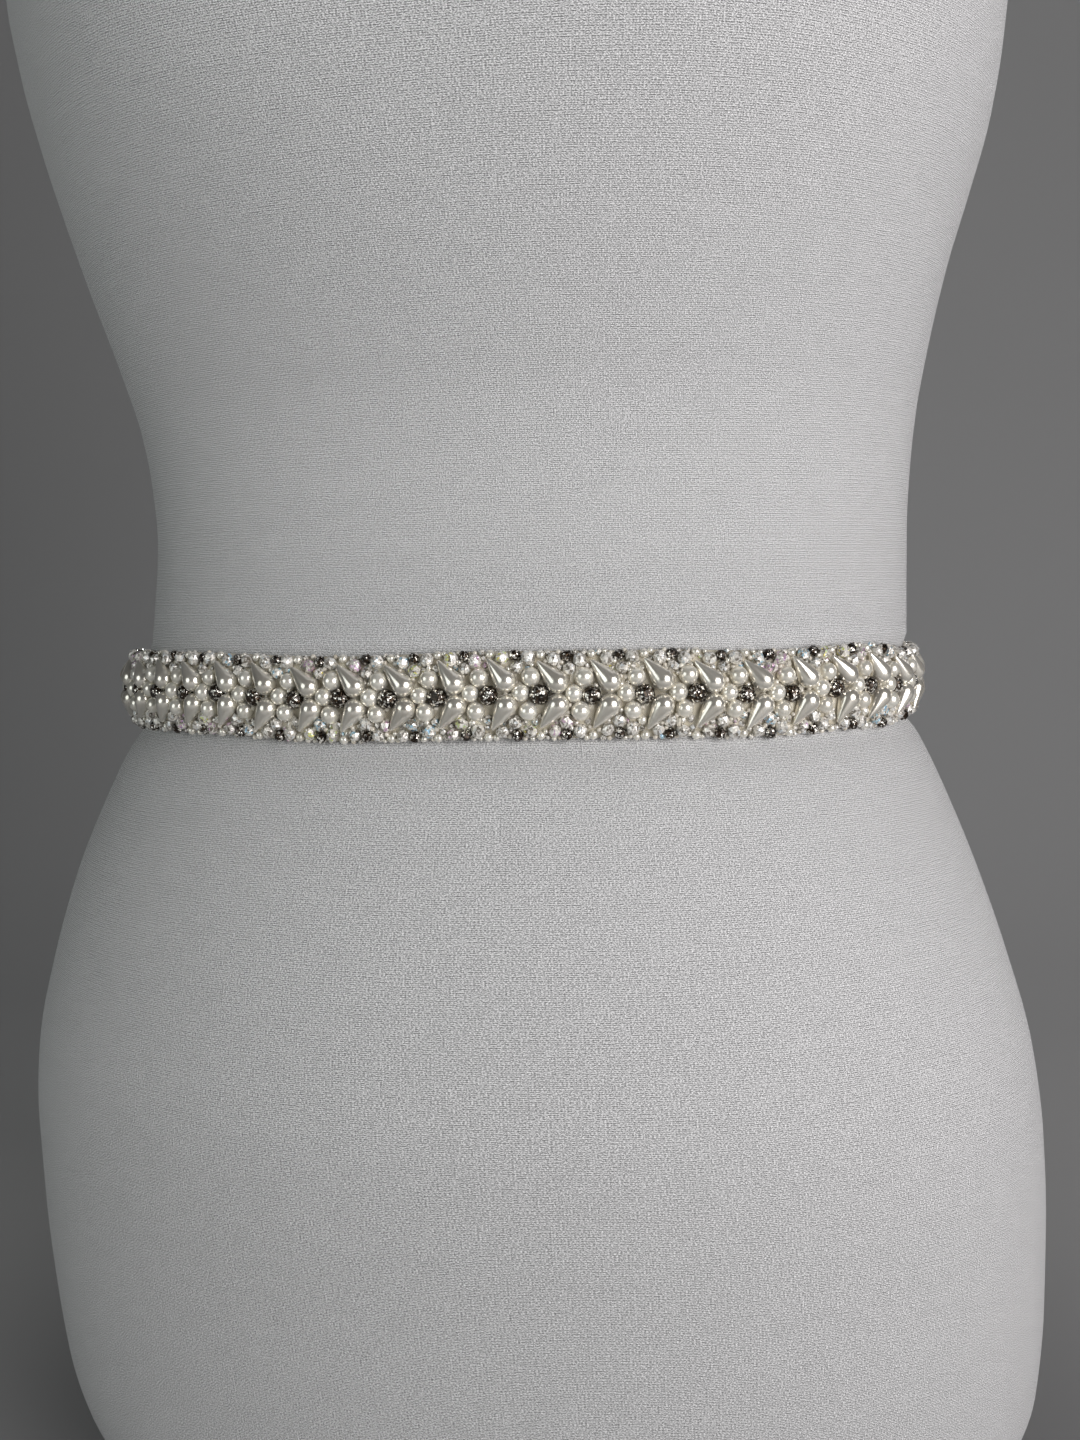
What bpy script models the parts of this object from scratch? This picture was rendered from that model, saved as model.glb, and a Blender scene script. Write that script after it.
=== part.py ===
"""Beaded bridal sash worn round the waist of a limbless dress form.

Metres in the scene, millimetres in the sizes below. +Z is up, the form's front
faces -Y, +X is on the right of someone who looks at that front, and the origin
is the middle of the flat base that the form stands on.
"""

import math
from collections import namedtuple

import bmesh
import bpy
import numpy as np
from mathutils import Vector
from mathutils.geometry import delaunay_2d_cdt

MM = 0.001

# The waist where the sash sits: half sizes of the form's section there.
SASH_HEIGHT = 290.0
WAIST_HALF_WIDTH = 128.5
WAIST_FRONT = 83.5
WAIST_BACK = 83.5
WAIST_ROUNDNESS = 2.1

# Cloth layers, from the form outwards.
GAP = 0.3
RIBBON_THICKNESS = 1.0
RIBBON_WIDTH = 22.0
NET_THICKNESS = 1.0
RIBBON_INNER = GAP
NET_INNER = RIBBON_INNER + RIBBON_THICKNESS + GAP

# The ribbon's ends lap at the centre back.
RIBBON_LAP = 52.0
LAP_RAMP = 16.0
HEM_LENGTH = 8.0
HEM_EXTRA = 0.7
RIBBON_STEP = 7.0

# The beadwork: one repeat is a stone with its pearls and its pair of teardrops.
PITCH = 14.7
REPEATS = 32
TRIM_HALF_WIDTH = 12.9
EDGE_POINTS_PER_REPEAT = 3
TEARDROP_END_RADIUS = 3.0
TEARDROP_TIP_RADIUS = 0.5
TEARDROP_TIP_DISTANCE = 7.5  # from the round end's centre to the tip's centre
TEARDROP_FOOT_CORNERS = 6
TEARDROP_SHOULDER_CORNERS = 5
TEARDROP_SHOULDER = 0.64  # as a share of the end radius, and so is its rise
TEARDROP_SHOULDER_RISE = 1.75
OUTLINE_SHARE = 0.94  # a bead meets the net a little inside its widest outline

# The form's rings.
FORM_SEGMENTS = 40
LONGEST_RING_STEP = 34.0

# Soft bust mounds, as a forward swell of the front.
BUST_SWELL = 9.0
BUST_HEIGHT = 508.0
BUST_TURN = math.radians(33)
BUST_TALL = 46.0
BUST_WIDE = math.radians(22)

# roundness is the oval's exponent: 2 is an ellipse, and more is squarer. The padding isn't
# quite even: aside is how far a section's middle lies to the right.
Section = namedtuple("Section", "height half_width front back roundness aside", defaults=(0.0,))


def waist_section(above, ease):
    """The form's section near the sash, `ease` wider than the waist all round."""
    return Section(
        SASH_HEIGHT + above,
        WAIST_HALF_WIDTH + ease,
        WAIST_FRONT + ease,
        WAIST_BACK + ease,
        WAIST_ROUNDNESS,
    )


# height, half_width, front, back, roundness, aside
FORM_SECTIONS = [
    Section(0.0, 142.0, 74.0, 91.0, 2.0),
    Section(3.0, 146.5, 78.0, 95.0, 2.0),
    Section(10.0, 151.5, 81.0, 99.5, 2.0),
    Section(30.0, 165.2, 84.0, 109.5, 2.0, 0.4),
    Section(50.0, 171.8, 87.0, 117.0, 2.0, 0.9),
    Section(110.0, 175.3, 100.0, 128.0, 2.02, 0.0),
    Section(170.0, 171.1, 111.0, 125.5, 2.06, -0.9),
    Section(230.0, 152.8, 106.5, 104.5, 2.1, -1.0),
    Section(256.0, 141.7, 98.0, 94.0, 2.1, -0.5),
    Section(268.0, 135.8, 92.3, 89.0, 2.1, -0.2),
    waist_section(-16.5, 4.0),
    waist_section(-13.0, 1.0),
    waist_section(-10.5, 0.0),
    waist_section(-5.0, -0.5),
    waist_section(5.0, -0.5),
    waist_section(10.5, 0.0),
    waist_section(14.5, 0.8),
    Section(314.0, 128.2, 79.5, 85.0, 2.04, 1.7),
    Section(340.0, 127.9, 70.5, 84.0, 1.97, 2.1),
    Section(375.0, 131.2, 73.0, 84.5, 1.98, 1.5),
    Section(420.0, 142.3, 95.5, 89.0, 2.04, -0.3),
    Section(465.0, 154.6, 117.5, 95.5, 2.09, 0.3),
    Section(510.0, 160.7, 127.5, 101.0, 2.11, -0.6),
    Section(555.0, 158.0, 117.0, 105.0, 2.11),
    Section(600.0, 155.0, 99.0, 107.5, 2.1),
    Section(640.0, 160.0, 80.0, 105.5, 2.1),
    Section(668.0, 169.0, 67.0, 99.5, 2.1),
    Section(686.0, 174.5, 59.0, 93.5, 2.1),
    Section(700.0, 172.0, 53.5, 88.0, 2.1),
    Section(712.0, 155.0, 49.5, 83.0, 2.1),
    Section(723.0, 124.0, 47.0, 79.0, 2.1),
    Section(733.0, 93.0, 46.0, 76.0, 2.1),
    Section(744.0, 70.0, 45.5, 73.5, 2.1),
    Section(758.0, 58.5, 44.5, 70.0, 2.1),
    Section(780.0, 54.5, 43.0, 66.0, 2.1),
    Section(801.0, 54.0, 42.0, 64.0, 2.1),
    Section(807.0, 51.0, 39.0, 60.5, 2.1),
    Section(810.0, 44.0, 32.5, 53.5, 2.1),
]

Bead = namedtuple("Bead", "kind along up radius")

# The beads of one repeat: mm along the sash and up from its middle stone.
ROUND_BEADS = [
    Bead("stone", 0.0, 0.0, 3.0),
    Bead("pearl", -5.45, 0.5, 2.5),
    Bead("pearl", -2.3, 5.25, 2.5),
    Bead("pearl", -3.3, -4.3, 2.5),
    Bead("small", 0.5, 11.3, 1.5),
    Bead("small", -3.2, 10.6, 1.7),
    Bead("small", -6.9, 11.0, 1.7),
    Bead("small", -10.5, 10.7, 1.7),
    Bead("small", 0.3, -11.2, 1.5),
    Bead("small", -3.3, -10.4, 1.7),
    Bead("small", -6.9, -11.0, 1.7),
    Bead("small", -10.6, -10.8, 1.7),
]

Teardrop = namedtuple("Teardrop", "along up lean")

# The round end's centre, and the way that the tip points from it.
TEARDROPS = [
    Teardrop(5.1, 4.0, math.radians(132.5)),
    Teardrop(5.25, -3.0, math.radians(-126.5)),
]

Relief = namedtuple("Relief", "sides shoulder_sides shoulder shoulder_rise apex_rise")

# Outline and shoulder corners, and heights as shares of a bead's radius.
RELIEFS = {
    "pearl": Relief(7, 5, 0.68, 1.7, 2.0),
    "stone": Relief(6, 5, 0.6, 1.75, None),
    "small": Relief(4, 4, 0.6, 1.75, None),
}


def clear_scene():
    for obj in list(bpy.data.objects):
        bpy.data.objects.remove(obj)


def finish(name, colour, roughness, metallic=0.0):
    material = bpy.data.materials.new(name)
    material.use_nodes = True
    shader = material.node_tree.nodes["Principled BSDF"]
    shader.inputs["Base Color"].default_value = (*colour, 1.0)
    shader.inputs["Roughness"].default_value = roughness
    shader.inputs["Metallic"].default_value = metallic
    return material


def add_object(name, points, faces, material):
    """A named object from points in millimetres."""
    mesh = bpy.data.meshes.new(name)
    mesh.from_pydata([Vector(point) * MM for point in points], [], faces)
    shell = bmesh.new()
    shell.from_mesh(mesh)
    bmesh.ops.recalc_face_normals(shell, faces=shell.faces)
    shell.to_mesh(mesh)
    shell.free()
    mesh.materials.append(material)
    obj = bpy.data.objects.new(name, mesh)
    bpy.context.scene.collection.objects.link(obj)
    return obj


# ---- the dress form ----


def signed_power(value, power):
    return math.copysign(abs(value) ** power, value)


def oval_point(section, turn):
    """Plan point of a section. Turn 0 is the centre front and a quarter is +X."""
    side, ahead = math.sin(turn), math.cos(turn)
    depth = section.front if ahead >= 0 else section.back
    x = section.aside + section.half_width * signed_power(side, 2 / section.roundness)
    y = -depth * signed_power(ahead, 2 / section.roundness)
    return x, y


def bust_swell(height, turn):
    """How far the front swells forward at this place."""
    signed_turn = (turn + math.pi) % (2 * math.pi) - math.pi
    rise = math.exp(-(((height - BUST_HEIGHT) / BUST_TALL) ** 2))
    spread = math.exp(-(((abs(signed_turn) - BUST_TURN) / BUST_WIDE) ** 2))
    return BUST_SWELL * rise * spread


def form_rings():
    """The tabled sections, with more between those that lie far apart."""
    rings = [FORM_SECTIONS[0]]
    for index in range(1, len(FORM_SECTIONS)):
        low, high = FORM_SECTIONS[index - 1], FORM_SECTIONS[index]
        steps = math.ceil((high.height - low.height) / LONGEST_RING_STEP)
        for step in range(1, steps):
            rings.append(curved_section(low.height + (high.height - low.height) * step / steps))
        rings.append(high)
    return rings


def curved_section(height):
    """A section between two tabled ones, on a smooth curve through its neighbours."""
    index = next(i for i, s in enumerate(FORM_SECTIONS) if s.height > height) - 1
    last = len(FORM_SECTIONS) - 1
    before, low, high, after = (
        FORM_SECTIONS[min(max(i, 0), last)] for i in range(index - 1, index + 3)
    )
    span = high.height - low.height
    share = (height - low.height) / span
    values = [height]
    for column in Section._fields[1:]:
        a, b, c, d = (getattr(s, column) for s in (before, low, high, after))
        slope_low = (c - a) / (high.height - before.height) * span
        slope_high = (d - b) / (after.height - low.height) * span
        values.append(hermite(b, c, slope_low, slope_high, share))
    return Section(*values)


def hermite(start, end, slope_start, slope_end, share):
    square, cube = share**2, share**3
    return (
        (2 * cube - 3 * square + 1) * start
        + (cube - 2 * square + share) * slope_start
        + (3 * square - 2 * cube) * end
        + (cube - square) * slope_end
    )


def build_dress_form(material):
    points = []
    rings = form_rings()
    for section in rings:
        for segment in range(FORM_SEGMENTS):
            turn = 2 * math.pi * segment / FORM_SEGMENTS
            x, y = oval_point(section, turn)
            points.append((x, y - bust_swell(section.height, turn), section.height))
    faces = [
        (
            ring * FORM_SEGMENTS + segment,
            ring * FORM_SEGMENTS + (segment + 1) % FORM_SEGMENTS,
            (ring + 1) * FORM_SEGMENTS + (segment + 1) % FORM_SEGMENTS,
            (ring + 1) * FORM_SEGMENTS + segment,
        )
        for ring in range(len(rings) - 1)
        for segment in range(FORM_SEGMENTS)
    ]
    faces.append(tuple(range(FORM_SEGMENTS)))
    first_of_top = (len(rings) - 1) * FORM_SEGMENTS
    faces.append(tuple(range(first_of_top, first_of_top + FORM_SEGMENTS)))
    form = add_object("dress_form", points, faces, material)
    form.data.shade_smooth()
    form.data.set_sharp_from_angle(angle=math.radians(50))
    return form


# ---- the line round the waist ----


class WaistCurve:
    """The oval round the waist, measured along the inner face of the bead net."""

    SAMPLES = 1440

    def __init__(self):
        waist = waist_section(0.0, 0.0)
        turns = np.arange(self.SAMPLES + 1) * 2 * math.pi / self.SAMPLES
        plan = np.array([oval_point(waist, turn) for turn in turns])
        ahead = np.roll(plan[:-1], -1, axis=0) - np.roll(plan[:-1], 1, axis=0)
        ahead = np.vstack([ahead, ahead[:1]])
        ahead /= np.linalg.norm(ahead, axis=1)[:, None]
        self.outward = np.column_stack([ahead[:, 1], -ahead[:, 0]])
        self.plan = plan
        measured = plan + self.outward * NET_INNER
        steps = np.linalg.norm(np.diff(measured, axis=0), axis=1)
        self.lengths = np.concatenate([[0.0], np.cumsum(steps)])
        self.around = self.lengths[-1]

    def point(self, along, up, out):
        """The place `along` from the centre front, `up` from the sash's middle and
        `out` from the form's waist."""
        at = along % self.around
        x, y = (np.interp(at, self.lengths, self.plan[:, axis]) for axis in (0, 1))
        outward = Vector(
            np.interp(at, self.lengths, self.outward[:, axis]) for axis in (0, 1)
        ).normalized()
        return (x + outward.x * out, y + outward.y * out, SASH_HEIGHT + up)


# ---- the satin ribbon ----


def ease_in(share):
    share = min(max(share, 0.0), 1.0)
    return share * share * (3 - 2 * share)


def ribbon_stations(curve):
    """(along, inner, outer) at each place across the ribbon, from end to end."""
    end = (curve.around + RIBBON_LAP) / 2
    lap_end = (curve.around - RIBBON_LAP) / 2
    count = math.ceil(2 * end / RIBBON_STEP)
    alongs = [-end + 2 * end * i / count for i in range(count + 1)]
    hem = -end + HEM_LENGTH
    alongs += [hem, hem + HEM_EXTRA]
    stations = []
    for along in sorted(set(alongs)):
        lifted = ease_in((-along - lap_end + LAP_RAMP) / LAP_RAMP)
        inner = RIBBON_INNER + lifted * (RIBBON_THICKNESS + GAP)
        hem_extra = HEM_EXTRA if along <= hem else 0.0
        stations.append((along, inner, inner + RIBBON_THICKNESS + hem_extra))
    return stations


def build_satin_ribbon(curve, material):
    points, faces = [], []
    half = RIBBON_WIDTH / 2
    for along, inner, outer in ribbon_stations(curve):
        for up, out in ((-half, inner), (-half, outer), (half, outer), (half, inner)):
            points.append(curve.point(along, up, out))
    stations = len(points) // 4
    for station in range(stations - 1):
        low, high = station * 4, station * 4 + 4
        for corner in range(4):
            following = (corner + 1) % 4
            faces.append((low + corner, low + following, high + following, high + corner))
    faces.append((0, 1, 2, 3))
    faces.append(tuple(range(len(points) - 4, len(points))))
    return add_object("satin_ribbon", points, faces, material)


# ---- the beaded trim ----


class ReliefSheet:
    """Flat points with a rise above the trim's inner face, and the outlines that
    the triangles between them keep to."""

    def __init__(self):
        self.places, self.rises, self.edges = [], [], []

    def add_loop(self, loop, rise):
        first = len(self.places)
        self.places += [Vector(place) for place in loop]
        self.rises += [rise] * len(loop) if isinstance(rise, float) else list(rise)
        ends = list(range(first, len(self.places)))
        self.edges += list(zip(ends, ends[1:] + ends[:1]))

    def add_point(self, place, rise):
        self.places.append(Vector(place))
        self.rises.append(rise)


def circle(along, up, radius, sides, turn=0.0):
    return [
        (
            along + radius * math.cos(turn + 2 * math.pi * i / sides),
            up + radius * math.sin(turn + 2 * math.pi * i / sides),
        )
        for i in range(sides)
    ]


def raise_round_bead(sheet, bead, stone_along):
    relief = RELIEFS[bead.kind]
    along, up = stone_along + bead.along, bead.up
    foot = circle(along, up, bead.radius * OUTLINE_SHARE, relief.sides)
    sheet.add_loop(foot, NET_THICKNESS)
    turn = math.pi / relief.shoulder_sides
    shoulder = circle(along, up, bead.radius * relief.shoulder, relief.shoulder_sides, turn)
    sheet.add_loop(shoulder, NET_THICKNESS + bead.radius * relief.shoulder_rise)
    if relief.apex_rise:
        sheet.add_point((along, up), NET_THICKNESS + bead.radius * relief.apex_rise)


def teardrop_loop(centre, lean, end_radius, tip_radius, end_corners):
    """The outline round a big and a small circle, as two arcs."""
    taper = math.acos((end_radius - tip_radius) / TEARDROP_TIP_DISTANCE)
    tip = centre + Vector((math.cos(lean), math.sin(lean))) * TEARDROP_TIP_DISTANCE
    loop = []
    sweep = 2 * math.pi - 2 * taper
    for i in range(end_corners):
        turn = lean + taper + sweep * i / (end_corners - 1)
        loop.append(centre + Vector((math.cos(turn), math.sin(turn))) * end_radius)
    for turn in (lean - taper, lean, lean + taper):
        loop.append(tip + Vector((math.cos(turn), math.sin(turn))) * tip_radius)
    return loop, tip


def raise_teardrop(sheet, teardrop, stone_along):
    centre = Vector((stone_along + teardrop.along, teardrop.up))
    foot, tip = teardrop_loop(
        centre,
        teardrop.lean,
        TEARDROP_END_RADIUS * OUTLINE_SHARE,
        TEARDROP_TIP_RADIUS,
        TEARDROP_FOOT_CORNERS,
    )
    sheet.add_loop(foot, NET_THICKNESS)
    shoulder, _ = teardrop_loop(
        centre,
        teardrop.lean,
        TEARDROP_END_RADIUS * TEARDROP_SHOULDER,
        TEARDROP_TIP_RADIUS * TEARDROP_SHOULDER,
        TEARDROP_SHOULDER_CORNERS,
    )
    end_rise = NET_THICKNESS + TEARDROP_SHOULDER_RISE * TEARDROP_END_RADIUS
    tip_rise = NET_THICKNESS + TEARDROP_SHOULDER_RISE * TEARDROP_TIP_RADIUS
    tip_corners = len(shoulder) - TEARDROP_SHOULDER_CORNERS
    sheet.add_loop(shoulder, [end_rise] * TEARDROP_SHOULDER_CORNERS + [tip_rise] * tip_corners)
    sheet.add_point(centre, NET_THICKNESS + 2 * TEARDROP_END_RADIUS)
    middle_radius = (TEARDROP_END_RADIUS + TEARDROP_TIP_RADIUS) / 2
    sheet.add_point((centre + tip) / 2, NET_THICKNESS + 2 * middle_radius)


def trim_edge():
    """The trim's outline, counter-clockwise in along and up."""
    half = PITCH * REPEATS / 2
    count = REPEATS * EDGE_POINTS_PER_REPEAT
    alongs = [-half + 2 * half * i / count for i in range(count + 1)]
    lower = [(along, -TRIM_HALF_WIDTH) for along in alongs]
    upper = [(along, TRIM_HALF_WIDTH) for along in reversed(alongs)]
    return lower + upper


def triangles(places, edges):
    """Triangles inside the outermost loop, with every point kept."""
    made = delaunay_2d_cdt(places, edges, [], 1, 1e-6, False)
    vertices, faces = made[0], made[2]
    assert len(vertices) == len(places), "outlines cross or meet"
    return [tuple(face) for face in faces]


def trim_stones():
    return [(k + 0.5 - REPEATS / 2) * PITCH for k in range(REPEATS)]


def inside_trim(along, reach):
    """Whether a bead of this reach lies whole on the trim's length."""
    return abs(along) + reach < PITCH * REPEATS / 2


def build_beaded_trim(curve, material):
    sheet = ReliefSheet()
    edge = trim_edge()
    sheet.add_loop(edge, NET_THICKNESS)
    for stone_along in trim_stones():
        for bead in ROUND_BEADS:
            if inside_trim(stone_along + bead.along, bead.radius):
                raise_round_bead(sheet, bead, stone_along)
        for teardrop in TEARDROPS:
            if inside_trim(stone_along + teardrop.along, TEARDROP_END_RADIUS):
                raise_teardrop(sheet, teardrop, stone_along)
    outer_faces = triangles(sheet.places, sheet.edges)
    edge_places = sheet.places[: len(edge)]
    edge_ring = list(range(len(edge)))
    inner_faces = triangles(edge_places, list(zip(edge_ring, edge_ring[1:] + edge_ring[:1])))

    points = [
        curve.point(place.x, place.y, NET_INNER + rise)
        for place, rise in zip(sheet.places, sheet.rises)
    ]
    first_inner = len(points)
    points += [curve.point(place.x, place.y, NET_INNER) for place in edge_places]
    faces = list(outer_faces)
    faces += [tuple(first_inner + corner for corner in face) for face in inner_faces]
    for here, following in zip(edge_ring, edge_ring[1:] + edge_ring[:1]):
        faces.append((here, following, first_inner + following, first_inner + here))
    return add_object("beaded_trim", points, faces, material)


def main():
    clear_scene()
    curve = WaistCurve()
    jersey = finish("pale_grey_jersey", (0.62, 0.61, 0.61), 0.85)
    satin = finish("ivory_satin", (0.82, 0.79, 0.71), 0.4)
    pearl = finish("ivory_pearl_beadwork", (0.76, 0.74, 0.68), 0.25)
    build_dress_form(jersey)
    build_satin_ribbon(curve, satin)
    build_beaded_trim(curve, pearl)


main()
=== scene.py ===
"""The looks of a beaded bridal sash and of the dress form that wears it.

The sash is a satin ribbon that laps at the centre back. A net strip lies on it,
with stones, pearls, teardrops, crystals and seed beads sewn through the net.
Sizes are in millimetres and become metres where points are made.
"""

import math
from collections import namedtuple

import bmesh
import bpy
import numpy as np
from mathutils import Matrix, Vector


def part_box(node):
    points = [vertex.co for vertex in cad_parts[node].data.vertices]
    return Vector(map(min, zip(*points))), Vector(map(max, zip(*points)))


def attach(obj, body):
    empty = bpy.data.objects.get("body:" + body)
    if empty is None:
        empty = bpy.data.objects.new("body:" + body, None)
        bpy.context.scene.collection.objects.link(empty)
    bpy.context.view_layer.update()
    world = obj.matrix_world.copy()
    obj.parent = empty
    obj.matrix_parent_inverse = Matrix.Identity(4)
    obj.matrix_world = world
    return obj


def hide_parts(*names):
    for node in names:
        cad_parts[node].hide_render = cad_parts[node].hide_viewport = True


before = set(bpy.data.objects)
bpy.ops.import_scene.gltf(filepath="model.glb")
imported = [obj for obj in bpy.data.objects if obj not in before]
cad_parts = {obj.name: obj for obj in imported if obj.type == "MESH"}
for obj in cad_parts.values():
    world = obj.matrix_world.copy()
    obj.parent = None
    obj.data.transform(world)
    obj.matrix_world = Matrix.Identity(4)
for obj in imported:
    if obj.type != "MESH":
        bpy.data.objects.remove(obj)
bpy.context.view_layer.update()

MM = 0.001
SEED = 27
TURN = 2 * math.pi

# ---- sizes that the frame's solids share ----

SASH_HEIGHT = sum(corner.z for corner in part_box("satin_ribbon")) / 2 / MM
WAIST_HALF_WIDTH = 128.5
WAIST_HALF_DEPTH = 83.5
WAIST_ROUNDNESS = 2.1
GAP = 0.3
RIBBON_THICKNESS = 1.0
RIBBON_WIDTH = 22.0
TRIM_THICKNESS = 1.0
RIBBON_INNER = GAP
NET_INNER = RIBBON_INNER + RIBBON_THICKNESS + GAP
NET_FACE = NET_INNER + TRIM_THICKNESS
RIBBON_LAP = 52.0
LAP_RAMP = 16.0
HEM_LENGTH = 8.0
HEM_EXTRA = 0.7
PITCH = 14.7
REPEATS = 32
TRIM_LENGTH = PITCH * REPEATS

# ---- sizes of the finer work ----

NET_WIDTH = 25.0
NET_THREAD = 0.3
NET_MESH = 0.62
TRIM_HALF_WIDTH = 13.3
STEP_ALONG = 2.0
TEARDROP_END_RADIUS = 3.3
TEARDROP_TIP_RADIUS = 0.5
TEARDROP_TIP_DISTANCE = 7.7
WALE_WIDTH = 0.62
COURSE_HEIGHT = 0.58

Bead = namedtuple("Bead", "kind along up radius")
Teardrop = namedtuple("Teardrop", "along up lean")

# One repeat of the beadwork: mm along the sash and up from its middle stone.
REPEAT_BEADS = [
    Bead("stone", 0.0, 0.0, 3.0),
    Bead("pearl", -5.45, 0.5, 2.7),
    Bead("pearl", -2.3, 5.25, 2.7),
    Bead("pearl", -3.3, -4.3, 2.7),
    Bead("small_pearl", 0.2, 11.7, 1.3),
    Bead("crystal", 4.5, 10.2, 2.15),
    Bead("dark_crystal", -6.9, 11.2, 1.8),
    Bead("crystal", -3.3, 10.4, 2.15),
    Bead("crystal", -6.7, 7.6, 2.0),
    Bead("small_pearl", 0.1, -11.7, 1.35),
    Bead("crystal", 4.3, -10.4, 2.0),
    Bead("dark_crystal", -6.9, -11.2, 1.9),
    Bead("crystal", -3.3, -10.2, 2.1),
    Bead("crystal", -7.3, -7.6, 2.15),
]
TEARDROPS = [
    Teardrop(5.1, 4.0, math.radians(132.5)),
    Teardrop(5.25, -3.0, math.radians(-126.5)),
]
BEAD_SIZES = (0.95, 1.05)
SEWING_SLACK = dict(stone=0.15, pearl=0.25, small_pearl=0.5, crystal=0.6, dark_crystal=0.6)

# How far the sewn teardrops stray, as standard deviations.
STRAY_ALONG = 0.15
STRAY_UP = 0.18
STRAY_LEAN = math.radians(3.0)

# A value at a place, in mm along the sash. A smooth line goes through such marks.
Mark = namedtuple("Mark", "along value")

# The sewing hand pulled the sash a little up or down: mm up.
HAND_PULLS = [
    Mark(-235.0, 0.0),
    Mark(-170.0, -0.3),
    Mark(-90.0, 0.5),
    Mark(-40.0, -0.55),
    Mark(8.0, 0.55),
    Mark(55.0, 0.35),
    Mark(90.0, -0.75),
    Mark(116.0, 0.05),
    Mark(142.0, -0.7),
    Mark(190.0, 0.25),
    Mark(235.0, 0.0),
]

# The padding under the trim is uneven: mm out at the sash's middle.
TRIM_PADS = [
    Mark(-240.0, 1.3),
    Mark(-150.0, 1.1),
    Mark(-60.0, 0.3),
    Mark(60.0, 0.0),
    Mark(150.0, -1.0),
    Mark(240.0, -1.1),
]
EDGE_DROP = 0.9

# The trim narrows toward its ends: the share of its full width.
TRIM_WIDTHS = [
    Mark(-240.0, 0.86),
    Mark(-182.0, 0.88),
    Mark(-150.0, 1.0),
    Mark(128.0, 1.0),
    Mark(160.0, 0.84),
    Mark(240.0, 0.8),
]

# How beads are pressed apart, and how smaller ones fill the gaps between them.
BEAD_CROWDING = 0.94
PRESSING_ROUNDS = 40
PRESSING_PACE = 0.6
FILLER_SPOTS = 26000
LARGEST_FILLER = 1.95
SMALLEST_FILLER = 0.7
LARGEST_MIDDLE_FILLER = 0.8
MIDDLE_FILLER_SHARE = 0.3
MIDDLE_BAND = 6.0
UNEVEN_FROM = 1.2
UNEVEN_SIZES = (0.84, 1.0)
ROOM_PER_RADIUS = 3.2
SMALLEST_SPAN = 1e-9

# The radius from which a filler can be a crystal, and the shares of crystals and pearly seeds.
CRYSTAL_FROM = 0.85
CRYSTAL_SHARE = 0.9
PEARLY_SHARE = 0.32

# The shares of clear, violet, blue and gold crystals.
TINT_SHARES = (0.64, 0.13, 0.14, 0.09)

# How far out each kind sits from where it just touches the net's face.
BEAD_LIFT = -0.3
TEARDROP_LIFT = -0.45
LOWEST_SEED = -0.12
SEED_LIFT = 1.0
SEED_CLIMB = 3.0
SEED_SLACK = (-0.3, 0.4)

# A stone's middle and its half depth, as shares of its radius, and how it tips in radians.
STONE_LIFT = 0.8
STONE_FLATNESS = 0.85
STONE_TIP = 0.2

# A teardrop's mean dip and how it strays, in degrees, and its discs, rings and belly.
TEARDROP_DIP = (3.0, 2.0)
TEARDROP_DISCS = 5
TEARDROP_RINGS = 9
TEARDROP_BELLY = 0.12

# The net's faces across, and how it sinks, sags and rises under the beads.
NET_ACROSS = 12
NET_SINK = 0.15
NET_SAG = 0.12
NET_RISE = 1.2
NET_CLIMB = 4.0

STITCHES_PER_REPEAT = 8
STITCH_BAND = 8.5
STITCH_END_MARGIN = 3.0
STITCH_LENGTHS = (2.2, 3.6)
STITCH_HEIGHTS = (1.3, 2.4)
STITCH_LEAN = 0.6
THREADS_PER_STITCH = 3
THREAD_SPACING = 0.38
CLOSING_STITCHES = 9
CLOSING_SPACING = 2.3
CLOSING_LENGTH = 1.9
CLOSING_SLANT = math.radians(24)
CLOSING_INSET = 1.2
CLOSING_LIFT = 0.02


# ---- nodes ----


class NodeMaker:
    """Adds nodes to a tree."""

    def node(self, kind, settings=None, sockets=None):
        """A node of this kind, with its settings made before its sockets are fed."""
        node = self.tree.nodes.new(kind)
        for label, value in (settings or {}).items():
            setattr(node, label, value)
        for label, value in (sockets or {}).items():
            self.feed(node.inputs[label], value)
        return node

    def feed(self, socket, value):
        if isinstance(value, Wire):
            value = value.socket
        if isinstance(value, bpy.types.NodeSocket):
            self.tree.links.new(value, socket)
        else:
            socket.default_value = value


class Wire:
    """A number in a material. Sums and products of wires add the Math nodes."""

    def __init__(self, finish, socket):
        self.finish = finish
        self.socket = socket

    def maths(self, operation, *others):
        sockets = dict(enumerate((self, *others)))
        node = self.finish.node("ShaderNodeMath", {"operation": operation}, sockets)
        return Wire(self.finish, node.outputs[0])

    def __add__(self, other):
        return self.maths("ADD", other)

    __radd__ = __add__

    def __sub__(self, other):
        return self.maths("SUBTRACT", other)

    def __rsub__(self, other):
        return (self * -1) + other

    def __mul__(self, other):
        return self.maths("MULTIPLY", other)

    __rmul__ = __mul__

    def __truediv__(self, other):
        return self.maths("DIVIDE", other)

    def sine(self):
        return self.maths("SINE")

    def fraction(self):
        return self.maths("FRACT")

    def absolute(self):
        return self.maths("ABSOLUTE")

    def ramp(self, low, high):
        """0 below low, 1 above high and a smooth rise between them."""
        settings = {"interpolation_type": "SMOOTHSTEP"}
        sockets = {"Value": self, "From Min": low, "From Max": high}
        node = self.finish.node("ShaderNodeMapRange", settings, sockets)
        return Wire(self.finish, node.outputs["Result"])


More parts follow.
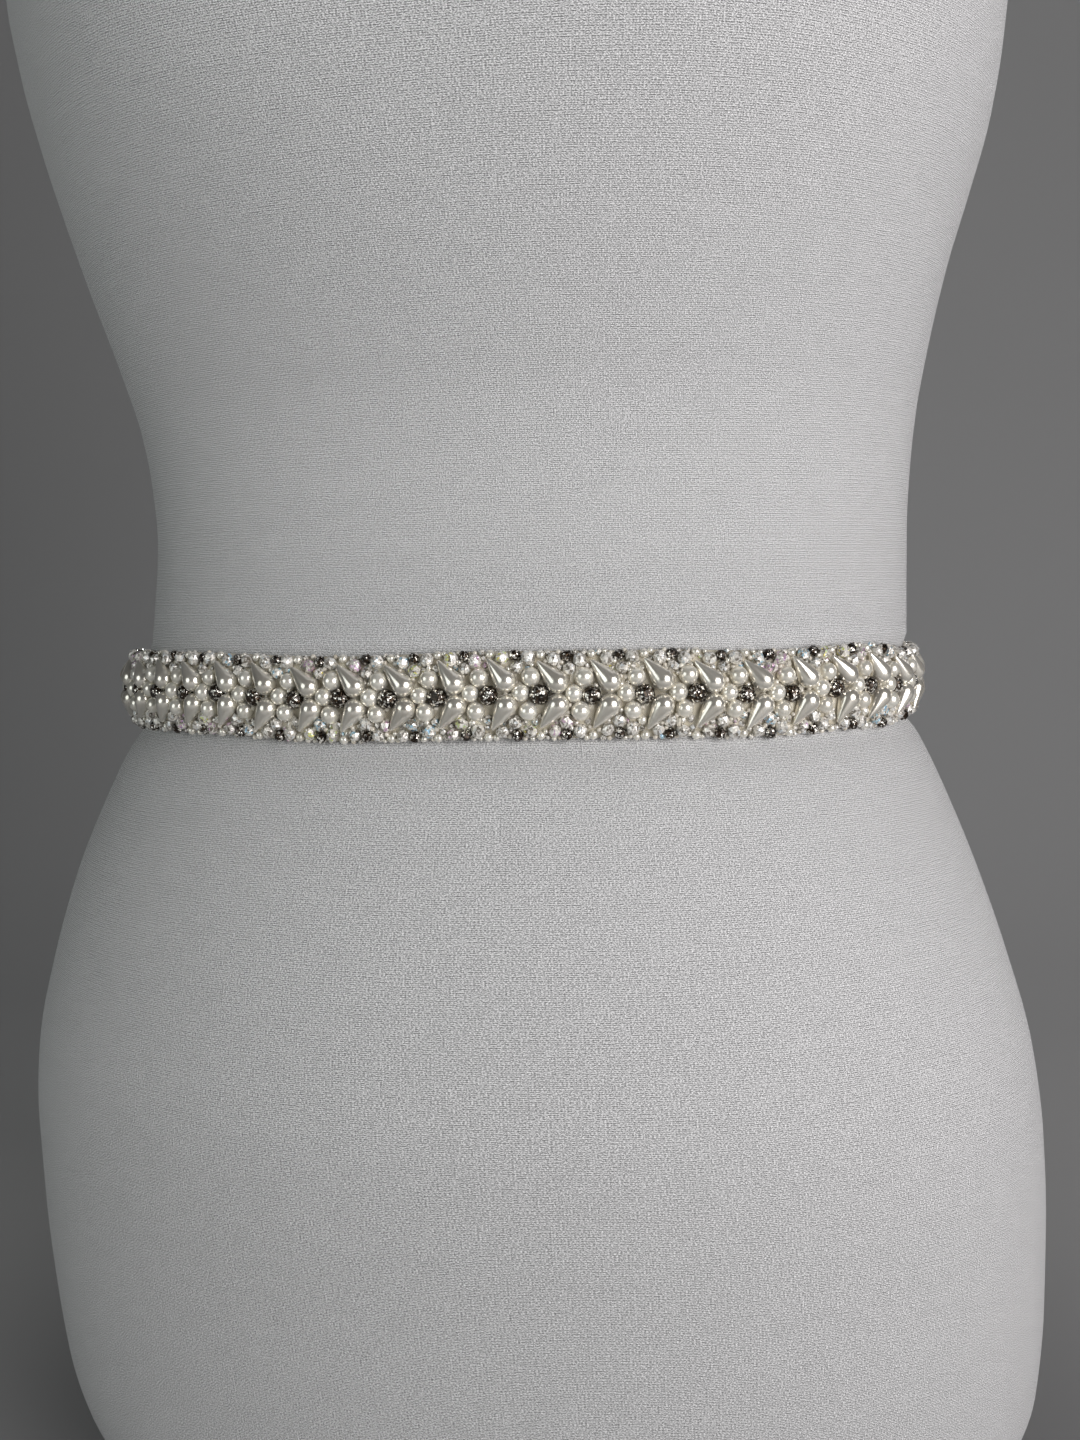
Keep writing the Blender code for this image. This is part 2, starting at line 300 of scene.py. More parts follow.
class Finish(NodeMaker):
    """A material with one Principled shader and the nodes that feed it."""

    def __init__(self, name, colour, **sockets):
        self.material = bpy.data.materials.new(name)
        self.material.use_nodes = True
        self.material.diffuse_color = (*colour, 1.0)
        self.tree = self.material.node_tree
        self.shader = self.tree.nodes["Principled BSDF"]
        self.shader.inputs["Base Color"].default_value = (*colour, 1.0)
        for label, value in sockets.items():
            self.shader.inputs[label.replace("_", " ")].default_value = value

    def set(self, label, value):
        self.feed(self.shader.inputs[label], value)

    def paint(self, share, low, high):
        self.set("Base Color", self.mix(share, low, high))

    def place(self):
        """The piece's own place, in metres."""
        return self.node("ShaderNodeTexCoord").outputs["Object"]

    def cloth(self):
        """The two measures along a cloth, in millimetres."""
        uv = self.node("ShaderNodeUVMap", {"uv_map": "cloth"}).outputs["UV"]
        parts = self.node("ShaderNodeSeparateXYZ", None, {"Vector": uv})
        return Wire(self, parts.outputs["X"]) / MM, Wire(self, parts.outputs["Y"]) / MM

    def attribute(self, name):
        node = self.node("ShaderNodeAttribute", {"attribute_name": name})
        return Wire(self, node.outputs["Fac"])

    def noise(self, vector, scale, detail=2.0, roughness=0.5):
        sockets = {"Vector": vector, "Scale": scale, "Detail": detail, "Roughness": roughness}
        return Wire(self, self.node("ShaderNodeTexNoise", None, sockets).outputs["Fac"])

    def cloud(self, scale):
        return self.noise(self.place(), scale)

    def cells(self, vector, scale):
        """Small cells: how far from each cell's middle, and two random numbers a cell."""
        node = self.node("ShaderNodeTexVoronoi", None, {"Vector": vector, "Scale": scale})
        parts = self.node("ShaderNodeSeparateColor", None, {"Color": node.outputs["Color"]})
        return [Wire(self, socket) for socket in (node.outputs["Distance"], *parts.outputs[:2])]

    def vector(self, x, y, z=0.0):
        return self.node("ShaderNodeCombineXYZ", None, {"X": x, "Y": y, "Z": z}).outputs["Vector"]

    def mix(self, share, low, high):
        """From the low colour to the high one by a share."""
        node = self.node("ShaderNodeMix", {"data_type": "RGBA"}, {"Factor": share})
        for label, colour in (("A", low), ("B", high)):
            socket = next(s for s in node.inputs if s.name == label and s.type == "RGBA")
            self.feed(socket, (*colour, 1.0) if isinstance(colour, tuple) else colour)
        return next(s for s in node.outputs if s.type == "RGBA")

    def bump(self, height, distance_mm, strength=1.0):
        sockets = {"Height": height, "Distance": distance_mm * MM, "Strength": strength}
        node = self.node("ShaderNodeBump", None, sockets)
        self.set("Normal", node.outputs["Normal"])


def jersey_finish():
    """Fine pale knit: small stitches in courses that pair up, with uneven yarn. The dark between
    the courses, wales and paired courses is painted shade where the loops dip.
    """
    finish = Finish("pale_jersey", (0.55, 0.55, 0.555), Roughness=0.95, Specular_IOR_Level=0.15)
    round_it, up = finish.cloth()
    wander = finish.noise(finish.vector(round_it * 0.11, up * 0.16), 1.0, 3.0, 0.6) * 0.6
    courses = ((up / COURSE_HEIGHT + wander * 2) * TURN).sine() * 0.5 + 0.5
    pairs = ((up / COURSE_HEIGHT / 2 + wander) * TURN).sine() * 0.5 + 0.5
    wales = ((round_it / WALE_WIDTH + wander) * TURN).sine() * 0.5 + 0.5
    uneven = finish.noise(finish.vector(round_it * 2.5, up * 3.4), 1.0, 1.0).ramp(0.4, 0.6)
    patches = finish.noise(finish.vector(round_it * 0.13, up * 0.17), 1.0)
    # Painted shade: the knit and pairs marks darken the colour between stitches, where the loops
    # dip. In the bump they are real relief.
    knit = courses * 0.6 + courses * wales * 0.4
    tone = knit * 0.5 + pairs * 0.1 + uneven * 0.62 + patches * 0.08
    finish.paint(tone, (0.19, 0.19, 0.193), (0.95, 0.95, 0.95))
    finish.bump(knit * 0.9 + pairs * 0.25 + uneven * 0.85, 0.14)
    return finish.material


def satin_finish():
    """Ivory satin: long smooth floats across the ribbon and a firm woven selvedge."""
    finish = Finish("ivory_satin", (0.80, 0.765, 0.67), Roughness=0.36, Sheen_Weight=0.2,
                    Sheen_Roughness=0.35, Anisotropic=0.5)
    along, up = finish.cloth()
    edge = (up.absolute() - (RIBBON_WIDTH / 2 - 1.1)).ramp(0.0, 0.15)
    floats = finish.noise(finish.vector(along * 3.2, up * 0.35), 1.0, 2.0, 0.6)
    ribs = (along / 0.55 * TURN).sine() * 0.5 + 0.5
    tone = floats.ramp(0.25, 0.75) * 0.6 + finish.cloud(40.0) * 0.4 - edge * 0.3
    finish.paint(tone, (0.68, 0.64, 0.54), (0.84, 0.81, 0.72))
    finish.set("Roughness", 0.30 + floats * 0.12 + edge * 0.25)
    finish.bump(floats * 0.5 + ribs * edge, 0.08, 0.6)
    return finish.material


def net_finish():
    """Fine ivory tulle: diamond meshes of thin thread with open holes. Its darker colour is partly
    painted shade, the brown shade that falls between the beads.
    """
    finish = Finish("ivory_net", (0.85, 0.80, 0.68), Roughness=0.7)
    along, up = finish.cloth()
    one_way = (((along + up) / NET_MESH).fraction() - 0.5).absolute()
    other_way = (((along - up) / NET_MESH).fraction() - 0.5).absolute()
    thread = one_way.maths("MAXIMUM", other_way)
    tone = thread.ramp(0.2, 0.5) * 0.5 + finish.cloud(260.0).ramp(0.3, 0.7) * 0.5
    finish.set("Alpha", thread.ramp(0.12, 0.18))
    # Partly painted shade: the dark end of the net's colour stands in for the shade between the
    # beads, and the rest is the net's own tone.
    finish.paint(tone, (0.50, 0.44, 0.32), (0.91, 0.86, 0.73))
    return finish.material


def thread_finish():
    """Ivory sewing thread, uneven in tone."""
    finish = Finish("ivory_thread", (0.9, 0.86, 0.76), Roughness=0.5)
    cloud = finish.cloud(900.0)
    finish.paint(cloud, (0.78, 0.73, 0.60), (0.98, 0.95, 0.87))
    finish.bump(cloud, 0.05, 0.5)
    return finish.material


def pearl_finish(name, mirror, low, high):
    """Lustrous ivory: part mirror, part milky body, under a clear skin."""
    finish = Finish(name, high, Metallic=mirror, Coat_Weight=1.0, Coat_Roughness=0.05,
                    Coat_IOR=1.7, Sheen_Weight=1.0, Sheen_Roughness=0.25,
                    Sheen_Tint=(1.0, 0.96, 0.88, 1.0), Subsurface_Weight=0.3,
                    Subsurface_Radius=(1.0, 0.95, 0.85), Subsurface_Scale=1.5 * MM)
    cloud = finish.cloud(420.0)
    finish.paint(finish.attribute("shade") * 0.7 + cloud * 0.3, low, high)
    finish.set("Roughness", 0.16 + cloud * 0.08)
    return finish.material


def facet_tone(finish):
    """A random tone for each facet of each bead."""
    return (finish.attribute("facet") * 3.7 + finish.attribute("shade") * 5.3).fraction()


def crystal_finish(name, tint, other_tint, tinted):
    """Cut glass with painted reflections: each facet and cell is painted light or dark, standing
    in for the light and dark seen off and through the facets. Some cells are tinted.
    """
    finish = Finish(name, (0.75, 0.75, 0.74), Roughness=0.06, Metallic=0.3, Coat_Weight=1.0,
                    Coat_Roughness=0.03, Coat_IOR=1.7)
    middle, first, second = finish.cells(finish.place(), 1400.0)
    fine = finish.cells(finish.place(), 3300.0)[1]
    facet = facet_tone(finish)
    # Painted reflections: this light and dark tone stands in for what cut glass reflects and shows
    # through its facets.
    tone = (first * 0.25 + facet * 0.5 + fine * 0.25).ramp(0.22, 0.68)
    glass = finish.mix(tone, (0.15, 0.13, 0.10), (0.96, 0.93, 0.86))
    hue = finish.mix(fine, tint, other_tint)
    finish.paint(second.ramp(1 - tinted, 1.05 - tinted), glass, hue)
    finish.bump(fine * 0.3 + middle, 0.25, 0.55)
    return finish.material


def seed_finish():
    """Clear glass over ivory thread: pale, warm and glossy."""
    finish = Finish("clear_seed", (0.85, 0.81, 0.70), Roughness=0.15, Coat_Weight=1.0,
                    Coat_Roughness=0.04)
    tone = finish.attribute("shade") * 0.5 + finish.cloud(1400.0).ramp(0.3, 0.7) * 0.5
    finish.paint(tone, (0.48, 0.43, 0.34), (0.94, 0.90, 0.80))
    return finish.material


def dark_finish():
    """Smoky cut glass with a mirror back: near black, with painted glints, light cells in its
    colour that stand in for light caught in the facets.
    """
    finish = Finish("smoky_stone", (0.06, 0.05, 0.045), Roughness=0.06, Metallic=0.85,
                    Coat_Weight=0.3, Coat_Roughness=0.03)
    middle, first, second = finish.cells(finish.place(), 1800.0)
    facet = facet_tone(finish)
    brown = finish.mix(second, (0.006, 0.005, 0.004), (0.060, 0.038, 0.022))
    # Painted glints: a share of the cells is painted near white, standing in for light off the
    # facets.
    painted_glint = (first * 0.65 + facet * 0.35).ramp(0.66, 0.70)
    finish.paint(painted_glint, brown, (0.95, 0.92, 0.85))
    finish.bump(middle, 0.25, 0.7)
    return finish.material


def floor_finish():
    """Pale far off, with a painted shade pool that darkens it round the form's foot."""
    finish = Finish("pale_floor", (0.46, 0.46, 0.46), Roughness=0.9)
    parts = finish.node("ShaderNodeSeparateXYZ", None, {"Vector": finish.place()})
    aside, back = Wire(finish, parts.outputs["X"]), Wire(finish, parts.outputs["Y"])
    # Painted shade: the colour darkens toward the form's foot, a dark pool that stands in for the
    # shadow round the form.
    out_of_painted_shade = (aside * aside + back * back).maths("SQRT").ramp(0.05, 0.75)
    tone = out_of_painted_shade * 0.96 + finish.cloud(1.3) * 0.04
    finish.paint(tone, (0.22, 0.22, 0.222), (0.65, 0.65, 0.65))
    return finish.material


# ---- meshes ----


def linked(name, data):
    """A new object in the scene."""
    obj = bpy.data.objects.new(name, data)
    bpy.context.scene.collection.objects.link(obj)
    return obj


def piece(name, points, faces, material):
    """A smooth, named object whose place is in its mesh."""
    mesh = bpy.data.meshes.new(name)
    mesh.from_pydata([tuple(point) for point in points], [], faces)
    mesh.materials.append(material)
    mesh.shade_smooth()
    return linked(name, mesh)


def lay_cloth_map(obj, measures):
    """Gives each corner of the mesh its point's two measures, in metres."""
    layer = obj.data.uv_layers.new(name="cloth")
    for loop in obj.data.loops:
        layer.data[loop.index].uv = measures[loop.vertex_index]


def mend_map_seam(obj, round_it):
    """Where a face crosses the start of the round, its low corners take the full round."""
    layer = obj.data.uv_layers["cloth"]
    for face in obj.data.polygons:
        corners = [layer.data[index] for index in face.loop_indices]
        widest = max(corner.uv.x for corner in corners)
        for corner in corners:
            if widest - corner.uv.x > round_it / 2:
                corner.uv.x += round_it


def lay_end_maps(obj):
    """The two flat ends, which are the last faces, take their measures straight across."""
    layer = obj.data.uv_layers["cloth"]
    for face in list(obj.data.polygons)[-2:]:
        for index in face.loop_indices:
            corner = obj.data.loops[index].vertex_index
            layer.data[index].uv = obj.data.vertices[corner].co.xy


def point_outward(obj):
    shell = bmesh.new()
    shell.from_mesh(obj.data)
    bmesh.ops.recalc_face_normals(shell, faces=shell.faces)
    shell.to_mesh(obj.data)
    shell.free()


# ---- the dress form's knitted cover ----

FORM_AROUND = 160
FORM_SHARP_ANGLE = math.radians(60)
LARGEST_FORM_STEP = 4.5
SAME_HEIGHT = 0.02
PLACE_DECIMALS = 6
HEIGHT_DECIMALS = 5

# How far short of the front, in radians, a ring's first corner may lie.
FRONT_SLACK = 0.01

# The form's mean round, in mm of knit.
KNIT_ROUND = TURN * WAIST_HALF_WIDTH * 0.85

# The ring that the sash presses flat: mm above the sash's middle, and its width and shift.
PRESSED_HEIGHT = 14.5
PRESSED_REACH = 0.5
PRESSED_WIDTH = 0.9915
PRESSED_ASIDE = 1.7


def form_rings():
    """The dress form's corners as an array of rings, each in order from the front.

    The sash presses its padding flat just above the ribbon, so that ring comes in.
    """
    corners = np.array([v.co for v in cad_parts["dress_form"].data.vertices])
    corners = np.unique(np.round(corners, PLACE_DECIMALS), axis=0)
    rings = []
    for height in np.unique(np.round(corners[:, 2], HEIGHT_DECIMALS)):
        ring = corners[np.abs(corners[:, 2] - height) < SAME_HEIGHT * MM]
        turn = np.arctan2(ring[:, 0], -ring[:, 1])
        ring = ring[np.argsort((turn + FRONT_SLACK) % TURN)]
        if abs(height / MM - SASH_HEIGHT - PRESSED_HEIGHT) < PRESSED_REACH:
            ring[:, 0] = ring[:, 0] * PRESSED_WIDTH + PRESSED_ASIDE * MM
        rings.append(ring)
    return np.array(rings)


def hermite(start, end, slope_start, slope_end, share):
    """A place on the smooth curve from start to end that has these slopes at its ends."""
    square, cube = share**2, share**3
    return (
        (2 * cube - 3 * square + 1) * start
        + (cube - 2 * square + share) * slope_start
        + (3 * square - 2 * cube) * end
        + (cube - square) * slope_end
    )


def rounder(rings, count):
    """The same closed rings with `count` points each, on smooth curves through the old ones."""
    old = rings.shape[1]
    at = np.arange(count) * old / count
    low = np.floor(at).astype(int)
    share = (at - low)[None, :, None]
    before, here, after, beyond = (rings[:, (low + shift) % old] for shift in (-1, 0, 1, 2))
    return hermite(here, after, (after - before) / 2, (beyond - here) / 2, share)


def steady_slopes(heights, values):
    """Slopes up the rings that never overshoot a ring's own place."""
    gaps = np.diff(heights)[:, None, None]
    rises = np.diff(values, axis=0) / gaps
    product = rises[:-1] * rises[1:]
    total = rises[:-1] + rises[1:]
    inner = np.where(product > 0, 2 * product / np.where(total == 0, 1, total), 0)
    return np.concatenate([rises[:1], inner, rises[-1:]])


def taller(rings, step):
    """The same surface with more rings, no further than `step` apart."""
    heights = rings[:, 0, 2]
    slopes = steady_slopes(heights, rings)
    finer = []
    for low, gap in enumerate(np.diff(heights)):
        parts = math.ceil(gap / step)
        for part in range(parts):
            ends = rings[low], rings[low + 1], slopes[low] * gap, slopes[low + 1] * gap
            finer.append(hermite(*ends, part / parts))
    finer.append(rings[-1])
    return np.array(finer)


def ring_faces(rings, around):
    """Quads between closed rings, and a cap on each end."""
    faces = []
    for ring in range(rings - 1):
        for column in range(around):
            following = (column + 1) % around
            low, high = ring * around, (ring + 1) * around
            faces.append((low + column, low + following, high + following, high + column))
    faces.append(tuple(reversed(range(around))))
    faces.append(tuple(range((rings - 1) * around, rings * around)))
    return faces


def make_jersey_form(material):
    rings = taller(rounder(form_rings(), FORM_AROUND), LARGEST_FORM_STEP * MM)
    count = len(rings)
    form = piece("jersey_form", rings.reshape(-1, 3), ring_faces(count, FORM_AROUND), material)
    round_it = round(KNIT_ROUND / WALE_WIDTH) * WALE_WIDTH * MM
    climbs = np.linalg.norm(np.diff(rings[:, 0], axis=0), axis=1)
    heights = np.concatenate([[0.0], np.cumsum(climbs)])
    measures = [
        (round_it * column / FORM_AROUND, heights[ring])
        for ring in range(count)
        for column in range(FORM_AROUND)
    ]
    lay_cloth_map(form, measures)
    mend_map_seam(form, round_it)
    lay_end_maps(form)
    form.data.set_sharp_from_angle(angle=FORM_SHARP_ANGLE)
    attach(form, "root")
    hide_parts("dress_form")


# ---- the line round the waist ----


class WaistCurve:
    """The oval round the waist, measured along the inner face of the net."""

    SAMPLES = 1440

    def __init__(self):
        turns = np.arange(self.SAMPLES + 1) * TURN / self.SAMPLES
        side, ahead = np.sin(turns), np.cos(turns)
        power = 2 / WAIST_ROUNDNESS
        x = WAIST_HALF_WIDTH * np.sign(side) * np.abs(side) ** power
        y = -WAIST_HALF_DEPTH * np.sign(ahead) * np.abs(ahead) ** power
        self.plan = np.column_stack([x, y])
        steps = np.roll(self.plan[:-1], -1, axis=0) - np.roll(self.plan[:-1], 1, axis=0)
        steps = np.vstack([steps, steps[:1]])
        steps /= np.linalg.norm(steps, axis=1)[:, None]
        self.outward = np.column_stack([steps[:, 1], -steps[:, 0]])
        measured = self.plan + self.outward * NET_INNER
        spans = np.linalg.norm(np.diff(measured, axis=0), axis=1)
        self.lengths = np.concatenate([[0.0], np.cumsum(spans)])
        self.around = self.lengths[-1]

    def read(self, table, along):
        """The two values of a table at a place along the waist."""
        at = along % self.around
        return (np.interp(at, self.lengths, table[:, axis]) for axis in (0, 1))

    def axes(self, along):
        """(ahead, up, outward) at a place along the waist."""
        x, y = self.read(self.outward, along)
        outward = Vector((x, y, 0.0)).normalized()
        up = Vector((0.0, 0.0, 1.0))
        return up.cross(outward), up, outward

    def point(self, along, up, out):
        """The place `along` from the centre front, `up` from the sash's middle and `out`
        from the form's waist, in metres.
        """
        x, y = self.read(self.plan, along)
        outward = self.axes(along)[2]
        height = SASH_HEIGHT + up + hand_pull(along)
        return Vector((x + outward.x * out, y + outward.y * out, height)) * MM


def ease_in(share):
    share = min(max(share, 0.0), 1.0)
    return share * share * (3 - 2 * share)


def smooth_through(marks, along):
    """A smooth line through the marks, and 0 beyond them."""
    for low, high in zip(marks, marks[1:]):
        if low.along <= along <= high.along:
            share = ease_in((along - low.along) / (high.along - low.along))
            return low.value + (high.value - low.value) * share
    return 0.0


def hand_pull(along):
    """How far up the sash was pulled here as it was sewn on."""
    return smooth_through(HAND_PULLS, along)


def trim_width(along):
    """The share of its full width that the trim has here."""
    return smooth_through(TRIM_WIDTHS, along)


def trim_point(along, up, out):
    """A place over the trim, which is domed by the padding under its middle."""
    round_off = (up / TRIM_HALF_WIDTH) ** 2
    padding = smooth_through(TRIM_PADS, along) * (1 - round_off) - EDGE_DROP * round_off
    return waist.point(along, up, out + padding)


waist = WaistCurve()


# ---- the satin ribbon ----


def bell(distance, reach):
    """1 in the middle and nearly 0 from twice the reach on."""
    return math.exp(-((distance / reach) ** 2))


Crease = namedtuple("Crease", "along up tilt length width height")

# Soft ridges where the ribbon takes the strain near the trim's ends and the lap. The
# tilt is how far up a crease goes for each mm along.
RIBBON_CREASES = [
    Crease(246.0, 4.0, 0.10, 22.0, 2.2, 0.30),
    Crease(251.0, -5.5, -0.08, 17.0, 1.8, 0.26),
    Crease(268.0, 0.5, 0.04, 26.0, 2.6, 0.22),
    Crease(296.0, -4.0, 0.06, 18.0, 2.0, 0.20),
    Crease(-247.0, -3.5, 0.09, 20.0, 2.1, 0.30),
    Crease(-254.0, 6.0, -0.07, 15.0, 1.7, 0.24),
    Crease(-276.0, 1.5, -0.05, 24.0, 2.4, 0.22),
    Crease(-312.0, 3.0, 0.05, 20.0, 2.2, 0.24),
    Crease(-326.0, -5.0, 0.03, 14.0, 1.8, 0.20),
]


def crease_rise(along, up):
    rise = 0.0
    for crease in RIBBON_CREASES:
        ahead = along - crease.along
        across = up - crease.up - crease.tilt * ahead
        rise += crease.height * bell(ahead, crease.length) * bell(across, crease.width)
    return rise


def ribbon_layers(along):
    """How far the ribbon's inner and outer faces stand from the waist here."""
    lap_end = (waist.around - RIBBON_LAP) / 2
    lifted = ease_in((-along - lap_end + LAP_RAMP) / LAP_RAMP)
    inner = RIBBON_INNER + lifted * (RIBBON_THICKNESS + GAP)
    hem = -(waist.around + RIBBON_LAP) / 2 + HEM_LENGTH
    hem_extra = HEM_EXTRA * ease_in((hem + HEM_EXTRA - along) / HEM_EXTRA)
    return inner, inner + RIBBON_THICKNESS + hem_extra


RIBBON_ACROSS = 20
RIBBON_SHARP_ANGLE = math.radians(50)
EDGE_CORNERS = 4
INNER_CREASE_SHARE = 0.6


def ribbon_section(along):
    """(up, out) round the ribbon's section: the outer face up, then the inner face down."""
    inner, outer = ribbon_layers(along)
    middle, rounding = (inner + outer) / 2, (outer - inner) / 2
    flat = RIBBON_WIDTH / 2 - rounding
    section = []
    for side, face, share in ((1, outer, 1.0), (-1, inner, INNER_CREASE_SHARE)):
        for i in range(RIBBON_ACROSS + 1):
            up = side * (-flat + 2 * flat * i / RIBBON_ACROSS)
            section.append((up, face + share * crease_rise(along, up)))
        for i in range(1, EDGE_CORNERS):
            turn = side * math.pi / 2 - math.pi * i / EDGE_CORNERS
            up = side * flat + rounding * math.cos(turn)
            section.append((up, middle + rounding * math.sin(turn)))
    return section


def make_ribbon(material):
    end = (waist.around + RIBBON_LAP) / 2
    count = math.ceil(2 * end / STEP_ALONG)
    alongs = [-end + 2 * end * i / count for i in range(count + 1)]
    hem = -end + HEM_LENGTH
    alongs = sorted(set(alongs) | {hem, hem + HEM_EXTRA / 2, hem + HEM_EXTRA})
    points, measures = [], []
    for along in alongs:
        for up, out in ribbon_section(along):
            points.append(waist.point(along, up, out))
            measures.append((along * MM, up * MM))
    around = len(points) // len(alongs)
    ribbon = piece("satin_ribbon_cloth", points, ring_faces(len(alongs), around), material)
    lay_cloth_map(ribbon, measures)
    point_outward(ribbon)
    ribbon.data.set_sharp_from_angle(angle=RIBBON_SHARP_ANGLE)
    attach(ribbon, "root")
    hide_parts("satin_ribbon")
    flat = (RIBBON_WIDTH * MM, 2 * end * MM)


# ---- the net under the beads ----


def net_sag(along, up):
    """How far the net waves out or in between its stitches."""
    return NET_SAG * math.sin(along * 0.9 + up) * math.sin(up * 0.7 + along * 0.31)


def make_net(material, beadwork):
    count = math.ceil(TRIM_LENGTH / STEP_ALONG)
    points, measures = [], []
    for i in range(count + 1):
        along = -TRIM_LENGTH / 2 + TRIM_LENGTH * i / count
        half = NET_WIDTH / 2 * trim_width(along)
        for j in range(NET_ACROSS + 1):
            up = half * (2 * j / NET_ACROSS - 1)
            rise = NET_RISE * ease_in((half - abs(up)) / NET_CLIMB)
            out = NET_FACE - NET_SINK + net_sag(along, up) + rise
            points.append(trim_point(along, up, out))
            measures.append((along * MM, up * MM))
    faces = []
    for i in range(count):
        for j in range(NET_ACROSS):
            low, high = (row * (NET_ACROSS + 1) + j for row in (i, i + 1))
            faces.append((low, high, high + 1, low + 1))
    net = piece("bead_net", points, faces, material)
    lay_cloth_map(net, measures)
    thick = net.modifiers.new("thread", "SOLIDIFY")
    thick.thickness = NET_THREAD * MM
    thick.offset = -1.0
    settle_modifiers(net)
    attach(net, "root")
    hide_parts("beaded_trim")


def settle_modifiers(obj):
    """Turns what the modifiers make into the object's own mesh."""
    graph = bpy.context.evaluated_depsgraph_get()
    mesh = bpy.data.meshes.new_from_object(obj.evaluated_get(graph), depsgraph=graph)
    obj.modifiers.clear()
    obj.data = mesh


# ---- where each bead sits ----


def stone_places():
    return [(k + 0.5 - REPEATS / 2) * PITCH for k in range(REPEATS)]


def lay_teardrops(chance):
    """Each teardrop with a little of a hand's unevenness."""
    laid = []
    for stone in stone_places():
        for drop in TEARDROPS:
            along = stone + drop.along + chance.normal(0, STRAY_ALONG)
            up = drop.up * trim_width(along) + chance.normal(0, STRAY_UP)
            lean = drop.lean + chance.normal(0, STRAY_LEAN)
            if along + TEARDROP_END_RADIUS < TRIM_LENGTH / 2:
                laid.append(Teardrop(along, up, lean))
    return laid


def teardrop_discs(drops):
    """Round discs that fill each teardrop's outline and hold its place."""
    discs = []
    for drop in drops:
        for part in range(TEARDROP_DISCS):
            share = part / (TEARDROP_DISCS - 1)
            reach = TEARDROP_TIP_DISTANCE * share
            radius = TEARDROP_END_RADIUS + (TEARDROP_TIP_RADIUS - TEARDROP_END_RADIUS) * share
            along = drop.along + reach * math.cos(drop.lean)
            discs.append(Bead("teardrop", along, drop.up + reach * math.sin(drop.lean), radius))
    return discs


def lay_beads(chance):
    laid = []
    for stone in stone_places():
        for bead in REPEAT_BEADS:
            slack = SEWING_SLACK[bead.kind]
            along = stone + bead.along + chance.uniform(-slack, slack)
            up = bead.up * trim_width(along) + chance.uniform(-slack, slack)
            radius = bead.radius * chance.uniform(*BEAD_SIZES)
            if abs(along) + radius < TRIM_LENGTH / 2:
                laid.append(Bead(bead.kind, along, up, radius))
    return laid


def press_apart(beads, fixed):
    """Moves beads along the net until none cuts into a neighbour."""
    places = np.array([(bead.along, bead.up) for bead in beads + fixed])
    radii = np.array([bead.radius for bead in beads + fixed])
    reach = np.array([TRIM_HALF_WIDTH * trim_width(bead.along) for bead in beads + fixed])
    freedom = np.array([1.0 / bead.radius for bead in beads] + [0.0] * len(fixed))
    for _ in range(PRESSING_ROUNDS):
        offsets = places[:, None] - places[None]
        spans = np.linalg.norm(offsets, axis=2) + SMALLEST_SPAN
        overlaps = BEAD_CROWDING * 2 * np.sqrt(radii[:, None] * radii[None]) - spans
        np.fill_diagonal(overlaps, 0.0)
        overlaps = np.maximum(overlaps, 0.0)
        total = freedom[:, None] + freedom[None]
        share = np.divide(freedom[:, None], total, out=np.zeros_like(total), where=total > 0)
        pushes = offsets / spans[..., None] * (overlaps * share)[..., None]
        places += PRESSING_PACE * pushes.sum(axis=1)
        places[:, 1] = np.clip(places[:, 1], radii - reach, reach - radii)
    return [bead._replace(along=p[0], up=p[1]) for bead, p in zip(beads, places)]


def fill_gaps(beads, chance):
    """Smaller beads between the others, in the roomiest gap first."""
    end = TRIM_LENGTH / 2
    along = chance.uniform(-end, end, FILLER_SPOTS)
    up = chance.uniform(-TRIM_HALF_WIDTH, TRIM_HALF_WIDTH, FILLER_SPOTS)
    reach = np.array([TRIM_HALF_WIDTH * trim_width(spot) for spot in along])
    room = np.minimum(reach - np.abs(up), end - np.abs(along))
    middle = np.abs(up) < MIDDLE_BAND
    room = np.minimum(room, np.where(middle, LARGEST_MIDDLE_FILLER, LARGEST_FILLER))
    for bead in beads:
        room = np.minimum(room, room_beside(bead, along, up))
    fillers = []
    while room.max() > SMALLEST_FILLER:
        best = int(np.argmax(room))
        radius = room[best] * (chance.uniform(*UNEVEN_SIZES) if room[best] > UNEVEN_FROM else 1.0)
        filler = Bead("filler", along[best], up[best], radius)
        if not middle[best] or chance.uniform() < MIDDLE_FILLER_SHARE:
            fillers.append(filler)
        room = np.minimum(room, room_beside(filler, along, up))
    return fillers


def room_beside(bead, along, up):
    """How large a bead fits on the net at each spot before it touches this one."""
    return ((along - bead.along) ** 2 + (up - bead.up) ** 2) / (ROOM_PER_RADIUS * bead.radius)


# ---- bead shapes, each at the origin in metres ----


def bead_shape(name, shell, smooth):
    mesh = bpy.data.meshes.new(name)
    shell.to_mesh(mesh)
    shell.free()
    if smooth:
        mesh.shade_smooth()
    return linked(name, mesh)


def round_shape(name, segments, rings):
    """A smooth ball of radius 1 mm."""
    shell = bmesh.new()
    bmesh.ops.create_uvsphere(shell, u_segments=segments, v_segments=rings, radius=MM)
    return bead_shape(name, shell, True)


def ring_of(shell, x, radius, around, twist=0.0):
    """A ring of corners about the X axis."""
    turns = [TURN * (k + twist) / around for k in range(around)]
    across = radius * MM
    return [shell.verts.new((x * MM, across * math.cos(t), across * math.sin(t))) for t in turns]


